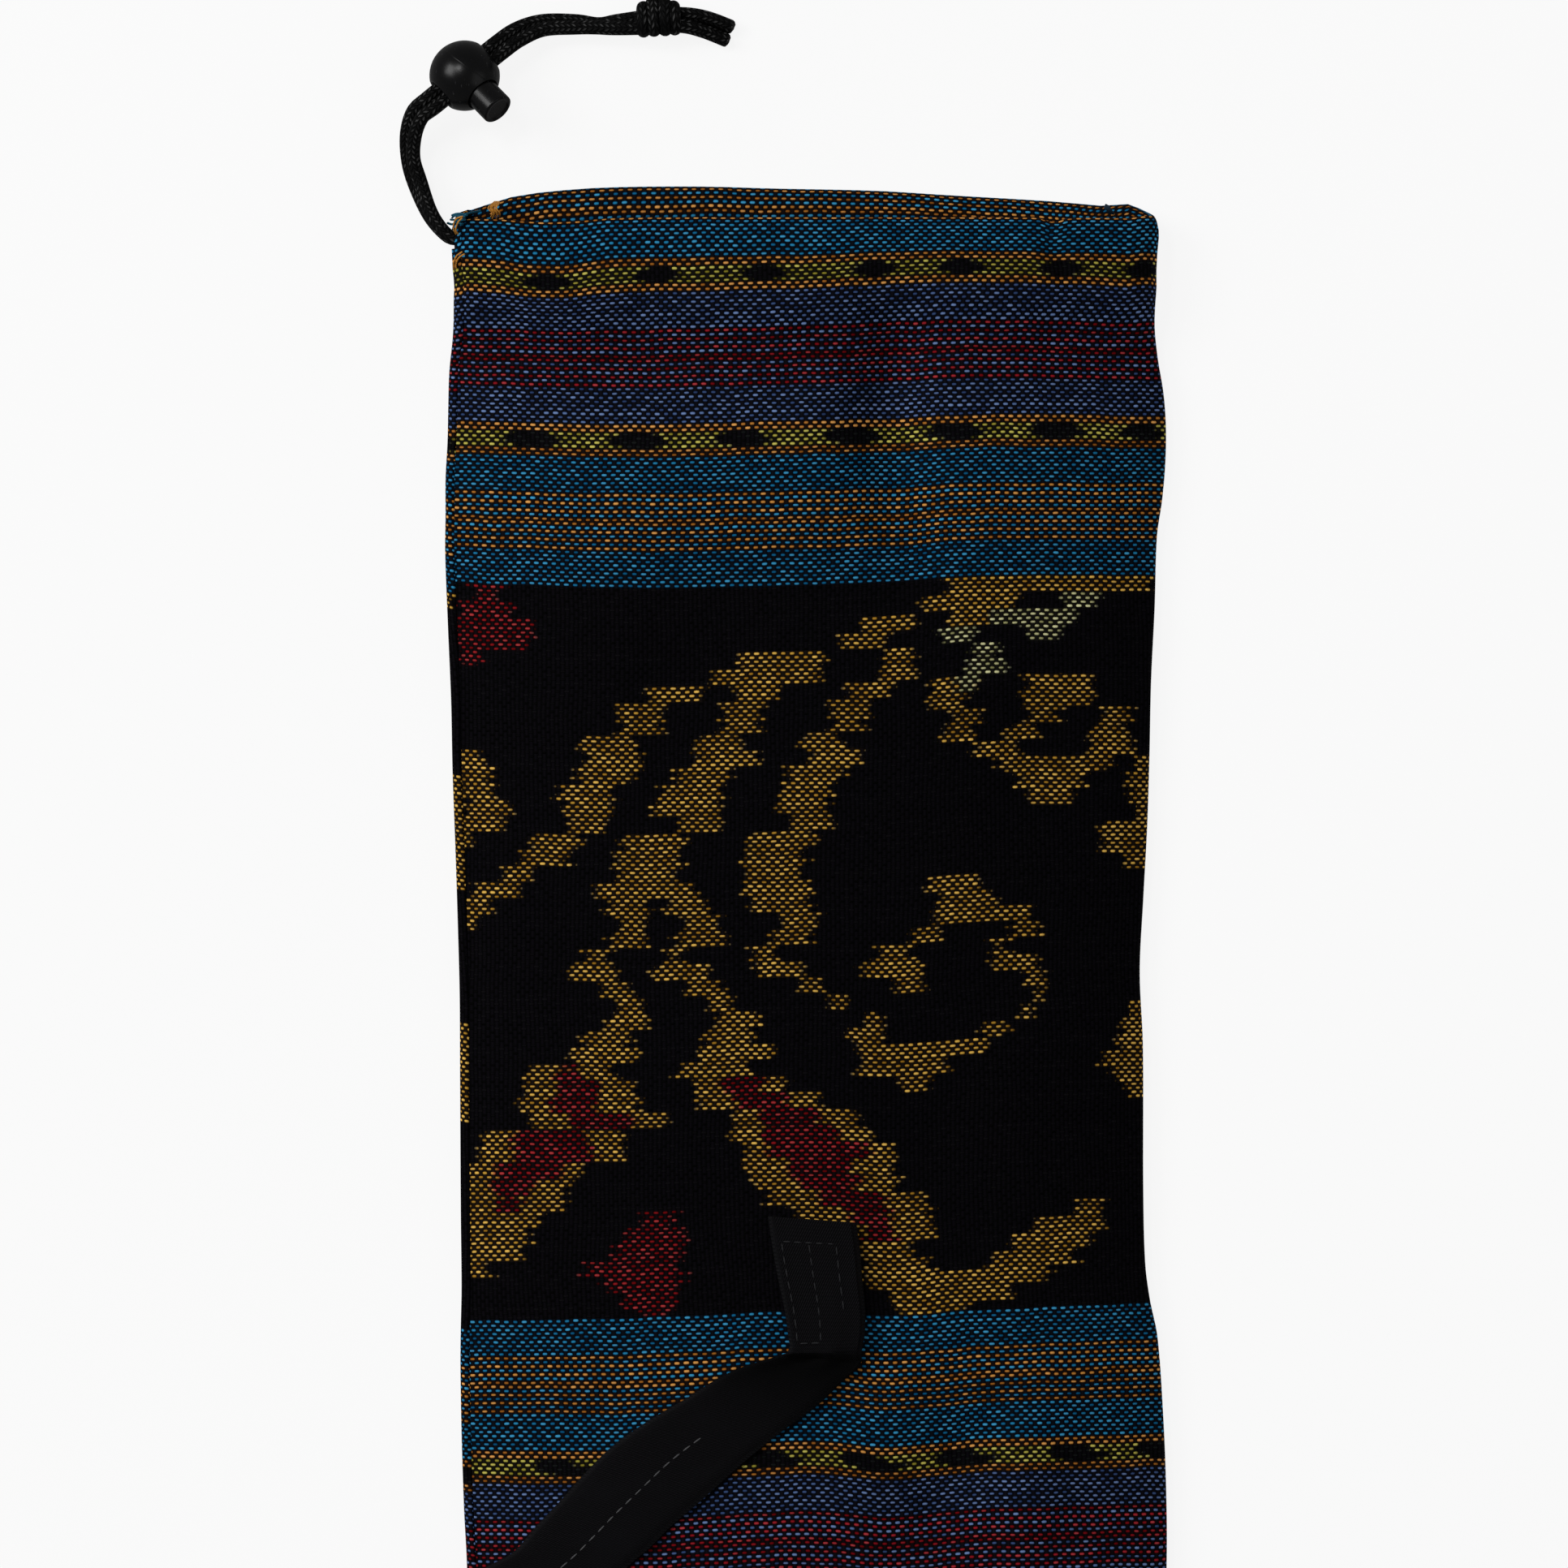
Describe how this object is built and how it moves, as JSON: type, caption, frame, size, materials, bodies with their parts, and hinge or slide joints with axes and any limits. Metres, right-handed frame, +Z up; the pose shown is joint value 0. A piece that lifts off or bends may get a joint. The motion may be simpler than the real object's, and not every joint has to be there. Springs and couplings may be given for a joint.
{
  "type": "didgeridoo bag",
  "caption": "Long flat drawstring bag of woven ikat cloth with a corded hem, ball cord lock, stopper knot and a sewn-on shoulder strap.",
  "frame": {"origin": "middle of the bag's flat underside, halfway along its length", "axes": "+Y along the bag towards its mouth, +Z up away from the surface it lies on, +X to the right seen from above, where the cloth is folded"},
  "size_m": [0.3145, 1.4488, 0.022],
  "materials": {
    "ikat_cloth": "coarse plain weave of coloured warp over black weft",
    "black_twill": "matt black twill",
    "black_braid": "black braided cord with a slight sheen",
    "black_plastic": "satin moulded black plastic"
  },
  "bodies": {
    "bag": {"bag_body": "ikat_cloth", "bag_hem": "ikat_cloth", "shoulder_strap": "black_twill", "drawcord_in_hem": "black_braid", "drawcord_strand_upper": "black_braid", "drawcord_strand_lower": "black_braid", "stopper_knot": "black_braid", "cord_lock_ball": "black_plastic"},
    "lock_button": {"cord_lock_button": "black_plastic"}
  },
  "joints": [
    {"name": "button_press", "type": "slide", "parent": "bag", "child": "lock_button", "axis": [-0.612, 0.6397, -0.4649], "range_m": [0, 0.002], "stiffness_N_per_m": 1500, "springref_m": -0.001}
  ]
}
